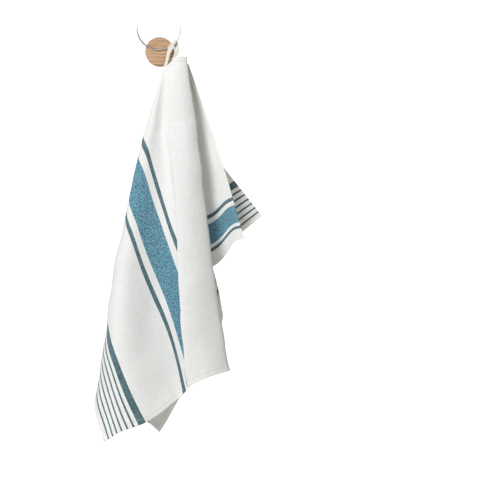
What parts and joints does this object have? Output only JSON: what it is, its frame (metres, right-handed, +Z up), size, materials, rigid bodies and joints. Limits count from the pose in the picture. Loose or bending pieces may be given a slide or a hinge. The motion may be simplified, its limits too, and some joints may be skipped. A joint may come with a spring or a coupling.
{
  "type": "hanging kitchen towel and wall hook",
  "caption": "Striped linen kitchen towel hanging by its loop from a wooden disc hook with an upturned steel wire.",
  "frame": {"origin": "centre of the hook disc's back face, which lies against the wall", "axes": "+Y into the wall, +Z up, +X to the right for someone who faces the wall"},
  "size_m": [0.2548, 0.1019, 0.6342],
  "materials": {
    "linen": "plain woven, off-white with blue stripes",
    "tape": "woven tape",
    "wood": "bare, sanded",
    "steel": "satin wire"
  },
  "bodies": {
    "root": {"towel_cloth": "linen", "hanging_loop": "tape", "hook_disc": "wood", "hook_wire": "steel"}
  },
  "joints": []
}
